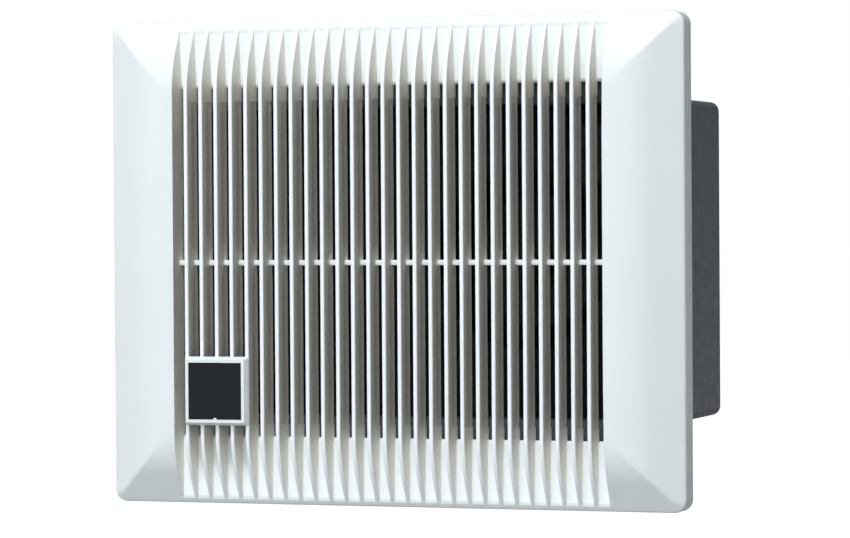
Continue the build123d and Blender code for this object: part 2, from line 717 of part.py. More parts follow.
def rotor_core():
    core = rod_y(AXIS_X, 0, ROTOR_R, CORE_Y0 + 0.5, CORE_Y1 - 0.5)
    return core - rod_y(AXIS_X, 0, SHAFT_R, 50, 80)


def rotor_end_rings():
    inner_edge = CORE_Y0 + 0.5
    outer_edge = CORE_Y1 - 0.5
    return [
        tube_y(AXIS_X, 0, 16.8, 10.5, inner_edge - 2.6, inner_edge),
        tube_y(AXIS_X, 0, 16.8, 10.5, outer_edge, outer_edge + 2.6),
    ]


def thrust_washers():
    return [
        tube_y(AXIS_X, 0, 5.5, SHAFT_R, 53.3, 54.2),
        tube_y(AXIS_X, 0, 5.5, SHAFT_R, 74.8, 75.7),
    ]


# ---- motor

def pole_frame(i):
    """Places a part modelled on the +X side of the axis at pole number i."""
    return Pos(AXIS_X, 0, 0) * Rot(0, 360.0 / POLES * i, 0)


def bolt_holes():
    return [rod_y(x, z, BOLT_HOLE_R, 40, 90) for x, z in around(BOLT_R, 4, BOLT_ANGLE)]


def end_cap(y_face, y_open, boss_end):
    """Pressed cup over one end of the stator, with a bearing boss and four bolt bosses."""
    inward = 1 if y_open > y_face else -1
    body = rod_y(AXIS_X, 0, MOTOR_R, *sorted((y_face, y_open)))
    inside = sorted((y_face + inward * CAP_WALL, y_open + inward))
    shell = body - rod_y(AXIS_X, 0, MOTOR_R - CAP_WALL, *inside)
    boss = rod_y(AXIS_X, 0, CAP_BOSS_R, *sorted((y_face, boss_end)))
    lugs = [
        rod_y(x, z, BOLT_BOSS_R, *sorted((y_face, y_open))) & body
        for x, z in around(BOLT_R, 4, BOLT_ANGLE)
    ]
    return shell.fuse(boss, *lugs)


def stator_core():
    """Laminated ring with four poles."""
    ring = tube_y(0, 0, MOTOR_R, MOTOR_R - 6.5, CORE_Y0, CORE_Y1)
    shoe_ring = tube_y(0, 0, BORE_R + 2.6, BORE_R, CORE_Y0, CORE_Y1)
    wedge = make_face(Polyline((0, 0), (40, -24), (40, 24), close=True))
    shoe = shoe_ring & slab_y(wedge, CORE_Y0, CORE_Y1)
    tooth = block(BORE_R + 1, MOTOR_R - 5, CORE_Y0, CORE_Y1, -4.5, 4.5)
    pole = shoe.fuse(tooth)
    poles = [pole_frame(i) * pole for i in range(POLES)]
    core = (Pos(AXIS_X, 0, 0) * ring).fuse(*poles)
    return core.cut(*bolt_holes())


def stator_bobbins():
    """Insulating sleeves between the poles and their coils."""
    sleeve = block(21.0, 25.4, CORE_Y0 - 1.0, CORE_Y1 + 1.0, -5.4, 5.4)
    hole = block(20, 27, CORE_Y0, CORE_Y1, -4.5, 4.5)
    return [pole_frame(i) * (sleeve - hole) for i in range(POLES)]


def stator_coils():
    """Copper windings, one on each pole."""
    outer = block(21.2, 25.2, CORE_Y0 - 3.2, CORE_Y1 + 3.2, -8.8, 8.8)
    outer = fillet(outer.edges().filter_by(Axis.X), 3.0)
    hole = block(20, 27, CORE_Y0 - 1.0, CORE_Y1 + 1.0, -5.4, 5.4)
    return [pole_frame(i) * (outer - hole) for i in range(POLES)]


def motor_front_cap():
    y0 = CAP_FRONT_Y
    cap = end_cap(y0, CORE_Y0, BEARING_FRONT[1])
    vents = [
        rod_y(x, z, VENT_R, y0 - 1, y0 + CAP_WALL + 0.5) for x, z in around(VENT_CIRCLE_R, VENTS)
    ]
    seat = rod_y(AXIS_X, 0, BEARING_R, BEARING_FRONT[0], 60)
    return cap.cut(seat, rod_y(AXIS_X, 0, SHAFT_R + 0.6, 40, 60), *vents, *bolt_holes())


def motor_rear_cap():
    cap = end_cap(CAP_REAR_Y, CORE_Y1, BEARING_REAR[0])
    exits = [rod_y(LEAD_X, z, LEAD_R, 78, 90) for z in (LEAD_Z, -LEAD_Z)]
    seat = rod_y(AXIS_X, 0, BEARING_R, 70, BEARING_REAR[1])
    return cap.cut(seat, *exits, *bolt_holes())


def bearing(y0, y1):
    return tube_y(AXIS_X, 0, BEARING_R, SHAFT_R + RUNNING_FIT, y0, y1)


def motor_plate():
    """Steel mounting plate with four arms, behind the motor."""
    y0 = CAP_REAR_Y
    y1 = y0 + PLATE
    arms = [
        Pos(AXIS_X, 0, 0) * Rot(0, 90 * i, 0) * block(20, MOUNT_R + 6.5, y0, y1, -7, 7)
        for i in range(4)
    ]
    arms = [fillet(arm.edges().filter_by(Axis.Y), 3.0) for arm in arms]
    plate = rod_y(AXIS_X, 0, MOTOR_R + 1, y0, y1).fuse(*arms)
    holes = [rod_y(x, z, MOUNT_HOLE_R, 80, 90) for x, z in around(MOUNT_R, 4)]
    holes += bolt_holes()
    holes += [rod_y(LEAD_X, z, 3.2, 80, 90) for z in (LEAD_Z, -LEAD_Z)]
    return plate.cut(*holes)


def motor_dampers():
    """Rubber spacers between the motor plate and the casing."""
    y0 = CAP_REAR_Y + PLATE
    return [tube_y(x, z, 6.0, MOUNT_HOLE_R, y0, CASE_BACK_Y) for x, z in around(MOUNT_R, 4)]


def motor_screws():
    tip = REAR_IN_Y + 1.8
    return [screw_y(x, z, STEEL_SCREW_R, 3.4, CAP_REAR_Y, tip, 1.6) for x, z in around(MOUNT_R, 4)]


def motor_bolts():
    """Through bolts that hold both end caps on the core, with their nuts."""
    bolts = []
    for x, z in around(BOLT_R, 4, BOLT_ANGLE):
        plate_rear = CAP_REAR_Y + PLATE
        bolt = screw_y(x, z, SCREW_R, 2.6, CAP_FRONT_Y, plate_rear + 3.2, 1.2)
        outline = RegularPolygon(2.7, 6, major_radius=False)
        nut = Pos(x, 0, z) * slab_y(outline, plate_rear, plate_rear + 2.3)
        bolts.append(bolt.fuse(nut))
    return bolts


# ---- electrical parts

def base_screw_points():
    return [(BOX_X0 + 4, BOX_Z1 - 4), (BOX_X1 - 4, BOX_Z0 + 4)]


def cover_post_points():
    return [(BOX_X0 + 4.5, BLOCK_Z + 8.5), (BOX_X1 - 4.5, BOX_Z1 - 4.5)]


def terminal_base():
    """Tray of the terminal box, with posts for the cover and the cable clamp."""
    inside = BOX_WALL
    outer = block(BOX_X0, BOX_X1, BOX_SPLIT_Y, ORIFICE_Y, BOX_Z0, BOX_Z1)
    hollow = block(
        BOX_X0 + inside, BOX_X1 - inside, 0, ORIFICE_Y - inside, BOX_Z0 + inside, BOX_Z1 - inside
    )
    post_end = ORIFICE_Y - 0.5
    posts = [rod_y(x, z, TRAY_POST_R, BOX_SPLIT_Y, post_end) for x, z in cover_post_points()]
    clamp_posts = [
        rod_y(x, CLAMP_Z, CLAMP_POST_R, CLAMP_BACK_Y, post_end) for x in clamp_screw_x()
    ]
    tray = (outer - hollow).fuse(*posts, *clamp_posts)
    pilot = SMALL_TAPPED_R
    holes = [rod_y(x, z, pilot, BOX_SPLIT_Y - 1, 9) for x, z in cover_post_points()]
    holes += [rod_y(x, CLAMP_Z, pilot, 0, 9) for x in clamp_screw_x()]
    holes += [rod_y(x, z, pilot, 0, 20) for x, z in base_screw_points()]
    holes.append(rod_y(BUSH_X, BUSH_Z, BUSH_R, 9, 13))
    holes.append(rod_z(CABLE_X, CABLE_Y, CABLE_BORE_R, BOX_Z1 - 3, BOX_Z1 + 1))
    return tray.cut(*holes)


def clamp_screw_x():
    return [CABLE_X - 7.0, CABLE_X + 7.0]


def base_screws():
    seat = ORIFICE_Y - BOX_WALL
    tip = ORIFICE_Y + PLATE
    return [screw_y(x, z, SMALL_SCREW_R, 2.2, seat, tip, 1.3) for x, z in base_screw_points()]


def terminal_cover():
    """Lid of the terminal box."""
    inside = BOX_WALL
    outer = block(BOX_X0, BOX_X1, BOX_Y0, BOX_SPLIT_Y, BOX_Z0, BOX_Z1)
    outer = fillet(outer.edges().filter_by(Axis.Y), 1.2)
    hollow = block(
        BOX_X0 + inside, BOX_X1 - inside, BOX_Y0 + inside, 3, BOX_Z0 + inside, BOX_Z1 - inside
    )
    posts = [rod_y(x, z, TRAY_POST_R, BOX_Y0 + 0.5, BOX_SPLIT_Y) for x, z in cover_post_points()]
    cover = (outer - hollow).fuse(*posts)
    return cover.cut(*[rod_y(x, z, 1.35, -9, 3) for x, z in cover_post_points()])


def cover_screws():
    tip = BOX_SCREW_TIP_Y
    return [screw_y(x, z, SMALL_SCREW_R, 2.4, BOX_Y0, tip, 1.4) for x, z in cover_post_points()]


def pole_x():
    return [101.0, 107.5, 114.0]


def terminal_block():
    """Three-way connector strip."""
    body = block(97.3, 117.7, 2.5, ORIFICE_Y - BOX_WALL, BLOCK_Z - 4.4, BLOCK_Z + 4.4)
    wells = [rod_y(x, BLOCK_Z, 1.9, 2, 6.5) for x in pole_x()]
    bores = [rod_z(x, INSERT_Y, INSERT_R, BLOCK_Z - 5, BLOCK_Z + 5) for x in pole_x()]
    grooves = [block(x - 0.5, x + 0.5, 2, 4.5, BLOCK_Z - 5, BLOCK_Z + 5) for x in (104.25, 110.75)]
    return body.cut(*wells, *bores, *grooves)


def terminal_inserts():
    """Brass sleeves in the connector strip."""
    inserts = []
    for x in pole_x():
        sleeve = rod_z(x, INSERT_Y, INSERT_R, BLOCK_Z - 3.6, BLOCK_Z + 3.6)
        sleeve -= rod_z(x, INSERT_Y, 1.3, BLOCK_Z - 4, BLOCK_Z + 4)
        inserts.append(sleeve - rod_y(x, BLOCK_Z, 1.2, 2, INSERT_Y))
    return inserts


def terminal_screws():
    screws = []
    for x in pole_x():
        slot = block(x - 1, x + 1, 3.5, 4.1, BLOCK_Z - 0.2, BLOCK_Z + 0.2)
        screws.append(rod_y(x, BLOCK_Z, 1.2, 3.6, 5.7) - slot)
    return screws


def cable_clamp():
    """Bar that holds the supply cable's sheath."""
    bar = block(
        CABLE_X - 10, CABLE_X + 10, CLAMP_FRONT_Y, CLAMP_BACK_Y, CLAMP_Z - 2.4, CLAMP_Z + 2.4
    )
    bar = fillet(bar.edges().filter_by(Axis.Y), 1.5)
    return bar.cut(*[rod_y(x, CLAMP_Z, 1.35, 0, 5) for x in clamp_screw_x()])


def clamp_screws():
    seat = CLAMP_FRONT_Y
    tip = BOX_SCREW_TIP_Y
    return [screw_y(x, CLAMP_Z, SMALL_SCREW_R, 2.2, seat, tip, 1.3) for x in clamp_screw_x()]


def cable_grommet():
    """Square rubber grommet in the housing's top wall, with a round hole for the cable."""
    top = BODY_H / 2
    body = cable_square(GROMMET_SIDE, top - WALL, top)
    lips = [
        cable_square(GROMMET_LIP, top - WALL - GROMMET_LIP_T, top - WALL),
        cable_square(GROMMET_LIP, top, top + GROMMET_LIP_T),
    ]
    return body.fuse(*lips) - rod_z(CABLE_X, CABLE_Y, CABLE_BORE_R, top - 10, top + 5)


def lead_bushes():
    """Rubber bushes where the motor's lead passes the casing's back and the orifice plate."""
    def bush(x, z, y0, y1):
        body = rod_y(x, z, BUSH_R, y0, y1)
        lip_r = BUSH_R + BUSH_LIP
        lips = [rod_y(x, z, lip_r, y0 - 1, y0), rod_y(x, z, lip_r, y1, y1 + 1)]
        return body.fuse(*lips) - rod_y(x, z, LEAD_R, y0 - 2, y1 + 2)

    return [
        bush(LEAD_X, LEAD_Z, CASE_BACK_Y, CASE_BACK_Y + PLATE),
        bush(LEAD_X, -LEAD_Z, CASE_BACK_Y, CASE_BACK_Y + PLATE),
        bush(BUSH_X, BUSH_Z, ORIFICE_Y - BOX_WALL, ORIFICE_Y + PLATE),
    ]


def wire(points, radius, bends):
    """Round wire along straight runs joined by tangent arcs."""
    path = FilletPolyline(*points, radius=bends)
    section = Plane(origin=path @ 0, z_dir=path % 0) * Circle(radius)
    return sweep(section, path=path)


def motor_leads():
    """Sheathed lead from the motor, behind the casing and forward to the terminal box."""
    sheath_end = 8.6
    sheath = wire(
        [
            (LEAD_X, LEAD_START_Y, LEAD_Z),
            (LEAD_X, LEAD_GAP_Y, LEAD_Z),
            (BUSH_X, LEAD_GAP_Y, BUSH_Z),
            (BUSH_X, sheath_end, BUSH_Z),
        ],
        LEAD_R,
        [LEAD_BEND_R, LEAD_BEND_R],
    )
    first_x, second_x = pole_x()[2], pole_x()[1]
    first = wire(
        [
            (BUSH_X - 0.9, sheath_end, BUSH_Z),
            (BUSH_X - 0.9, 6.2, BUSH_Z),
            (first_x, INSERT_Y, BUSH_Z),
            (first_x, INSERT_Y, BLOCK_Z + 1.5),
        ],
        CORE_WIRE_R,
        [1.6, 1.6],
    )
    second = wire(
        [
            (BUSH_X + 0.9, sheath_end, BUSH_Z),
            (BUSH_X + 0.9, 4.0, BUSH_Z),
            (second_x, 4.0, BUSH_Z + 1.0),
            (second_x, INSERT_Y, BUSH_Z - 0.6),
            (second_x, INSERT_Y, BLOCK_Z + 1.5),
        ],
        CORE_WIRE_R,
        [1.6, 1.4, 1.4],
    )
    return [sheath, first, second]


def capacitor_lead():
    """Sheathed lead from the motor to the capacitor."""
    cap_x = (CAN_X0 + CAN_X1) / 2
    cap_z = (CAN_Z0 + CAN_Z1) / 2
    return wire(
        [
            (LEAD_X, LEAD_START_Y, -LEAD_Z),
            (LEAD_X, LEAD_GAP_Y, -LEAD_Z),
            (cap_x, LEAD_GAP_Y, cap_z),
            (cap_x, CAN_Y1, cap_z),
        ],
        LEAD_R,
        [LEAD_BEND_R, LEAD_BEND_R],
    )


def capacitor():
    body = block(CAN_X0, CAN_X1, CAN_Y0, CAN_Y1, CAN_Z0, CAN_Z1)
    return fillet(body.edges().filter_by(Axis.Y), 2.5)


def capacitor_bracket():
    """Steel strap over the capacitor, screwed to the housing's bottom and side walls."""
    floor_z = -BODY_H / 2 + WALL
    wall_x = BODY_W / 2 - WALL
    left_x = CAN_X0 - STRAP_T
    top_z = CAN_Z1 + STRAP_T
    upright = block(left_x, CAN_X0, STRAP_Y0, STRAP_Y1, floor_z, top_z)
    foot = block(STRAP_FOOT_X - 4, CAN_X0, STRAP_Y0, STRAP_Y1, floor_z, floor_z + STRAP_T)
    bridge = block(left_x, wall_x, STRAP_Y0, STRAP_Y1, CAN_Z1, top_z)
    side = block(wall_x - STRAP_T, wall_x, STRAP_Y0, STRAP_Y1, CAN_Z1, STRAP_SIDE_Z + 5)
    foot_hole = rod_z(STRAP_FOOT_X, STRAP_SCREW_Y, TAPPED_R, floor_z - 1, floor_z + 2)
    side_hole = rod_x(STRAP_SCREW_Y, STRAP_SIDE_Z, TAPPED_R, wall_x - 2, wall_x + 1)
    return upright.fuse(foot, bridge, side).cut(foot_hole, side_hole)


def capacitor_screws():
    """Screws of the strap's foot and of its side tab: shank outside, head inside."""
    foot_z = -BODY_H / 2 + WALL + STRAP_T
    side_x = BODY_W / 2 - WALL - STRAP_T
    foot_shank = rod_z(STRAP_FOOT_X, STRAP_SCREW_Y, SCREW_R, foot_z - 2.5, foot_z)
    foot_head = rod_z(STRAP_FOOT_X, STRAP_SCREW_Y, STRAP_HEAD_R, foot_z, foot_z + 1.6)
    side_shank = rod_x(STRAP_SCREW_Y, STRAP_SIDE_Z, SCREW_R, side_x, side_x + 2.5)
    side_head = rod_x(STRAP_SCREW_Y, STRAP_SIDE_Z, STRAP_HEAD_R, side_x - 1.6, side_x)
    return [foot_shank.fuse(foot_head), side_shank.fuse(side_head)]


PARTS = {
    "grille_panel": grille_panel,
    "badge_frame": badge_frame,
    "badge_plate": badge_plate,
    "badge_retainer": badge_retainer,
    "panel_clips": panel_clips,
    "clip_screws": clip_screws,
    "housing": housing,
    "orifice_plate": orifice_plate,
    "orifice_screws": orifice_screws,
    "scroll_wall": scroll_wall,
    "casing_back": casing_back,
    "casing_screws": casing_screws,
    "spigot": spigot,
    "spigot_gasket": spigot_gasket,
    "spigot_screws": spigot_screws,
    "shutter_pin": shutter_pin,
    "shutter_flap": shutter_flap,
    "shutter_seal": shutter_seal,
    "impeller": impeller,
    "impeller_bush": impeller_bush,
    "impeller_washer": impeller_washer,
    "impeller_nut": impeller_nut,
    "motor_shaft": motor_shaft,
    "rotor_core": rotor_core,
    "rotor_end_rings": rotor_end_rings,
    "thrust_washers": thrust_washers,
    "stator_core": stator_core,
    "stator_bobbins": stator_bobbins,
    "stator_coils": stator_coils,
    "motor_front_cap": motor_front_cap,
    "motor_rear_cap": motor_rear_cap,
    "bearing_front": lambda: bearing(*BEARING_FRONT),
    "bearing_rear": lambda: bearing(*BEARING_REAR),
    "motor_plate": motor_plate,
    "motor_dampers": motor_dampers,
    "motor_screws": motor_screws,
    "motor_bolts": motor_bolts,
    "terminal_base": terminal_base,
    "base_screws": base_screws,
    "terminal_cover": terminal_cover,
    "cover_screws": cover_screws,
    "terminal_block": terminal_block,
    "terminal_inserts": terminal_inserts,
    "terminal_screws": terminal_screws,
    "cable_clamp": cable_clamp,
    "clamp_screws": clamp_screws,
    "cable_grommet": cable_grommet,
    "lead_bushes": lead_bushes,
    "motor_leads": motor_leads,
    "capacitor": capacitor,
    "capacitor_lead": capacitor_lead,
    "capacitor_bracket": capacitor_bracket,
    "capacitor_screws": capacitor_screws,
}


def main():
    os.makedirs("parts", exist_ok=True)
    for name, make in PARTS.items():
        shape = make()
        if isinstance(shape, list):
            shape = Compound([solid for piece in shape for solid in piece.solids()])
        export_step(shape, f"parts/{name}.step")


main()
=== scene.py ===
import json
import math

import bmesh
import bpy
from mathutils import Matrix, Vector


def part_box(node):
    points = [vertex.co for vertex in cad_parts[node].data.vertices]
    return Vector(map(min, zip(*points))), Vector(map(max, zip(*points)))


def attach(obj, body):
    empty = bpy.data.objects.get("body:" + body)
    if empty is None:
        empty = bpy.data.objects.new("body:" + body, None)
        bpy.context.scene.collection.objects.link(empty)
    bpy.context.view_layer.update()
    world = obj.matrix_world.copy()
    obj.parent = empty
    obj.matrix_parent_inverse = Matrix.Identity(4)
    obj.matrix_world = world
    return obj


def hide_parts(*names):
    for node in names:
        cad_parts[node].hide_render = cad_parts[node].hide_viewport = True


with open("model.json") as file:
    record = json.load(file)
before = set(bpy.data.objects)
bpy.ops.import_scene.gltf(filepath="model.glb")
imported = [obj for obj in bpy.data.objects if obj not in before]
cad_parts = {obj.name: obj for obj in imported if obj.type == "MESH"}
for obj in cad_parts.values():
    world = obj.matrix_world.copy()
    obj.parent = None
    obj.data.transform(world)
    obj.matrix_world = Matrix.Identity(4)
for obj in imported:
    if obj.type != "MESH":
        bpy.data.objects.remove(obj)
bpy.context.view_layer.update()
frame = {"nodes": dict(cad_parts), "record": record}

MM = 0.001
NODES = frame["nodes"]

# ---- panel sizes, in millimetres: the outline, front and rim depth worked out from the imported panel's box, the rest given
PANEL_LOW, PANEL_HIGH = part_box("grille_panel")
HALF_W = (PANEL_HIGH.x - PANEL_LOW.x) / 2 / MM
HALF_H = (PANEL_HIGH.z - PANEL_LOW.z) / 2 / MM
FRONT_Y = PANEL_LOW.y / MM
RIM_DEPTH = -FRONT_Y  # the rim reaches the wall's face at Y = 0
SKIN = 2.2
SKIN_LAG = 0.7  # share of the skin by which its inner face starts further in
BORDER_SLOPE = math.radians(27.0)
BORDER_ARC_R = 48.0
BORDER_WIDTH = 36.0
EDGE_R = 1.6
CORNER_R = 6.0
PITCH = 8.0
SLOT_W = 6.0
SLOTS = 28
FIN_DEPTH = 13.8
FIN_MID_DEPTH = 3.0
THROUGH_TOP = 86.9
THROUGH_LOW = 86.3
RELIEF_Z = 80.0
RELIEF_DEPTH = 8.5
RELIEF = 0.25
FLOOR_DEPTH = 12.4
FLOOR_RISE_TOP = 0.08
FLOOR_RISE_LOW = 0.0405
FLOOR_END_R = 2.4
FLOOR_END_DROP = 1.25
NOSE_R = 0.55
BAR_HALF = 1.3
BAR_EDGE_R = 0.4
BOSS_X = 139.5
BOSS_Z = 60.0
BOSS_HALF_W = 4.5
BOSS_HALF_H = 5.0
BOSS_DEPTH = 13.0
FIELD_MARGIN = 2.4  # the thick field runs on past the outer slots' sides
STEP = 0.05  # gap between two grid lines that make a boss's sharp side
WIDE_STEP = 0.06  # the same at the rim and at the field's edge
BORDER_LINE_FIRST = 3.0
BORDER_LINES = 34
DRAFT = 0.08  # width in which a slot's side falls to the groove floor

# ---- colours of the panel: one white plastic, with the fins' fronts and the groove floors painted a lighter white as painted light, and the groove walls a darker taupe as painted shade, painted lighter deeper in and towards the slot ends
PANEL_BASE = (0.83, 0.81, 0.77)
FIN_LIT_BASE = (0.92, 0.90, 0.865)
WALL_SHADE_BASE = (0.62, 0.58, 0.51)
WALL_DEEP_LIT_BASE = (0.93, 0.88, 0.79)
WALL_END_LIT_BASE = (0.90, 0.86, 0.78)
GROOVE_FLOOR_LIT_BASE = (0.95, 0.945, 0.93)
PANEL_MATERIALS = ("panel_white", "fin_lit_white", "groove_wall_shading", "groove_floor_lit")
FIN_LIT_END_BAND = (0.104, 0.112)  # metres from the middle between which the fins' painted-light white gives way to the panel's own white
# painted light: distances in front of the wall's face, in metres, over which the groove walls'
# painted shade turns lighter deeper in, then distances from the middle over which it turns lighter
# towards the slot ends
WALL_LIT_DEPTH_BAND = (0.0235, 0.0125)
WALL_LIT_END_BAND = (0.078, 0.098)
SIDE_FACING = 0.9  # a face turned more than this to the side is a groove wall
FLOOR_SUNK = 0.8  # a face this many millimetres below the front is a groove floor

# ---- camera and lights, in metres and watts
CAMERA_YAW = math.radians(19.08)
CAMERA_PITCH = math.radians(0.94)
CAMERA_ROLL = math.radians(-0.37)
CAMERA_DISTANCE = 1.7443
CAMERA_LENS = 151.7
AIM_RIGHT = 0.02034
AIM_UP = -0.00295
AMBIENT_SIDE = 0.145
AMBIENT_FRONT = 0.22
COOL = (0.82, 0.92, 1.0)
FLOOR_LEVEL = -0.9
FLOOR_HALF = 20.0
FLOOR_GLOW_START = 5.2
FLOOR_GLOW_FULL = 7.8
AREA_LIGHTS = (
    # name, place, side, power
    ("key", (0.05, -2.0, 3.0), 0.9, 104.0),
    ("fill_left", (-2.6, -2.2, 1.5), 1.6, 38.0),
    ("fill_right", (0.75, -3.3, 1.1), 1.6, 30.0),
    ("back", (-1.9, 3.4, 1.0), 2.4, 58.0),
)


# ---- mesh helpers

def new_object(name, verts, faces, scale=MM, smooth_angle=35.0):
    """Mesh object from millimetre vertices, shaded smooth except at sharp edges."""
    mesh = bpy.data.meshes.new(name)
    mesh.from_pydata([[c * scale for c in v] for v in verts], [], faces)
    mesh.validate()
    obj = bpy.data.objects.new(name, mesh)
    bpy.context.scene.collection.objects.link(obj)
    tidy_mesh(obj)
    shade(obj, smooth_angle)
    return obj


def tidy_mesh(obj):
    """Merges coincident points, drops empty faces and turns the normals outwards."""
    bm = bmesh.new()
    bm.from_mesh(obj.data)
    bmesh.ops.remove_doubles(bm, verts=bm.verts, dist=1e-7)
    bmesh.ops.dissolve_degenerate(bm, edges=bm.edges, dist=1e-8)
    bmesh.ops.recalc_face_normals(bm, faces=bm.faces)
    bm.to_mesh(obj.data)
    bm.free()


def shade(obj, angle=35.0):
    mesh = obj.data
    mesh.polygons.foreach_set("use_smooth", [True] * len(mesh.polygons))
    mesh.set_sharp_from_angle(angle=math.radians(angle))


def grid_sheet(xs, zs, front, back, solid, place):
    """Closed shell from a grid: front and back depth at each crossing, walls round open cells."""
    columns, rows = len(xs), len(zs)
    verts = []
    for depth in (front, back):
        for z in zs:
            for x in xs:
                px, pz = place(x, z)
                verts.append((px, FRONT_Y + depth(x, z), pz))
    shift = columns * rows

    def at(i, j):
        return j * columns + i

    cells = [[solid(i, j) for i in range(columns - 1)] for j in range(rows - 1)]

    def filled(i, j):
        return 0 <= i < columns - 1 and 0 <= j < rows - 1 and cells[j][i]

    faces = []
    for j in range(rows - 1):
        for i in range(columns - 1):
            if not cells[j][i]:
                continue
            a, b, c, d = at(i, j), at(i + 1, j), at(i + 1, j + 1), at(i, j + 1)
            faces.append((a, b, c, d))
            faces.append((a + shift, d + shift, c + shift, b + shift))
            for (p, q), beside in (
                ((a, b), (i, j - 1)),
                ((b, c), (i + 1, j)),
                ((c, d), (i, j + 1)),
                ((d, a), (i - 1, j)),
            ):
                if not filled(*beside):
                    faces.append((q, p, p + shift, q + shift))
    return verts, faces


# ---- grille panel: border and grooves as one shell, open fins and bar segments as strips

def border_depth(edge):
    """Depth of the panel's front behind its flat plane, at a distance in from the outer edge."""
    arc_end = BORDER_WIDTH - BORDER_ARC_R * math.sin(BORDER_SLOPE)
    if edge >= BORDER_WIDTH:
        return 0.0
    if edge >= arc_end:
        run = BORDER_WIDTH - edge
        return BORDER_ARC_R - math.sqrt(BORDER_ARC_R**2 - run**2)
    drop = BORDER_ARC_R * (1 - math.cos(BORDER_SLOPE))
    return drop + (arc_end - edge) * math.tan(BORDER_SLOPE)


def edge_drop(edge):
    """Extra depth from the rounding of the outer edge."""
    start = EDGE_R * (1 - math.sin(BORDER_SLOPE))
    if edge >= start:
        return 0.0
    along = min(1.0, (EDGE_R - edge) / EDGE_R)
    turn = math.asin(along)
    centre = border_depth(start) + EDGE_R * math.cos(BORDER_SLOPE)
    return centre - EDGE_R * math.cos(turn) - border_depth(edge)


def nose(t):
    """Drop of a fin's rounded nose at a distance in from the fin's side."""
    if t >= NOSE_R:
        return 0.0
    return NOSE_R - math.sqrt(NOSE_R**2 - (NOSE_R - t) ** 2)


FLOOR_END_RUN = math.sqrt(FLOOR_END_R**2 - (FLOOR_END_R - FLOOR_END_DROP) ** 2)


def through_z(z):
    return THROUGH_TOP if z > 0 else THROUGH_LOW


def floor_depth(z):
    """Groove floor: straight and rising to the panel's edge, rounded off where the slot opens."""
    past_bend = abs(z) - through_z(z) - FLOOR_END_RUN
    if past_bend >= 0:
        return FLOOR_DEPTH - (FLOOR_RISE_TOP if z > 0 else FLOOR_RISE_LOW) * past_bend
    over = min(-past_bend, FLOOR_END_RUN)
    return FLOOR_DEPTH + FLOOR_END_R - math.sqrt(FLOOR_END_R**2 - over**2)


SLOT_CENTRES = [(i - (SLOTS - 1) / 2) * PITCH for i in range(SLOTS)]
FIN_CENTRES = [(i - (SLOTS - 2) / 2) * PITCH for i in range(SLOTS - 1)]
FIELD_X = SLOT_CENTRES[-1] + SLOT_W / 2
NOSE_STEPS = [NOSE_R * (1 - math.cos(math.radians(a))) for a in (0, 18, 36, 54, 72, 90)]


def slot_at(x):
    """Distance from the nearest slot's side: positive in the slot, negative on a fin or border."""
    nearest = min(SLOT_CENTRES, key=lambda c: abs(c - x))
    return SLOT_W / 2 - abs(x - nearest)


def edge_in(x, z):
    """Distance in from the rounded outline, before the corner is drawn round."""
    return min(HALF_W - abs(x), HALF_H - abs(z))


def front_depth(x, z):
    edge = edge_in(x, z)
    surface = border_depth(edge) + edge_drop(edge)
    if abs(x) > FIELD_X + 2 or abs(z) < RELIEF_Z - 1:
        return surface
    inside = slot_at(x)
    floor = max(surface, floor_depth(z))
    if inside > DRAFT / 2:
        return floor
    return min(surface + nose(-inside), floor)


def skin_depth(x, z):
    """Inner face of the border's skin."""
    edge = max(edge_in(x, z) - SKIN * SKIN_LAG, 0.0)
    return border_depth(edge) + SKIN / math.cos(BORDER_SLOPE / 2)


def back_depth(x, z):
    if edge_in(x, z) <= SKIN + 0.01:
        return RIM_DEPTH
    if abs(x) <= FIELD_X + FIELD_MARGIN:
        return FIN_DEPTH
    if abs(abs(x) - BOSS_X) <= BOSS_HALF_W and abs(abs(z) - BOSS_Z) <= BOSS_HALF_H:
        return BOSS_DEPTH
    return skin_depth(x, z)


def round_corner(x, z):
    """Bends the grid's square corners to the outline's corner radius."""
    a = abs(x) - (HALF_W - CORNER_R)
    b = abs(z) - (HALF_H - CORNER_R)
    if a <= 0 or b <= 0:
        return x, z
    length = math.hypot(a, b)
    pull = max(a, b) / length
    return (
        math.copysign(HALF_W - CORNER_R + a * pull, x),
        math.copysign(HALF_H - CORNER_R + b * pull, z),
    )


def edge_lines(half):
    """Lines from the outer edge inwards, as distances from the middle."""
    start = EDGE_R * (1 - math.sin(BORDER_SLOPE))
    rounding = [EDGE_R * (1 - math.cos(math.radians(a))) for a in (0, 12, 24, 36, 48)]
    rounding = [r for r in rounding if r < start] + [start]
    lines = rounding + [1.5, SKIN, SKIN + WIDE_STEP]
    lines += [BORDER_LINE_FIRST + i for i in range(BORDER_LINES)]
    return sorted({round(half - e, 4) for e in lines})


def step_lines(middle, half):
    """Pairs of close lines at both sides of a boss, which keep its sides square."""
    return [middle + side * (half + gap) for side in (-1, 1) for gap in (0, STEP)]


def panel_x_lines():
    outer = [x for x in edge_lines(HALF_W) if x > FIELD_X + FIELD_MARGIN + 0.2]
    outer += step_lines(BOSS_X, BOSS_HALF_W)
    outer += [FIELD_X + FIELD_MARGIN, FIELD_X + FIELD_MARGIN + WIDE_STEP]
    field = []
    for centre in SLOT_CENTRES:
        for side in (-1, 1):
            wall = centre + side * SLOT_W / 2
            field += [wall + side * step for step in NOSE_STEPS]
            field += [wall - side * DRAFT, wall - side * (DRAFT + 0.25), wall - side * 1.2]
        field.append(centre)
    field += FIN_CENTRES
    lines = {round(x, 4) for x in field}
    lines |= {round(s * x, 4) for x in outer for s in (-1, 1)}
    return sorted(lines)


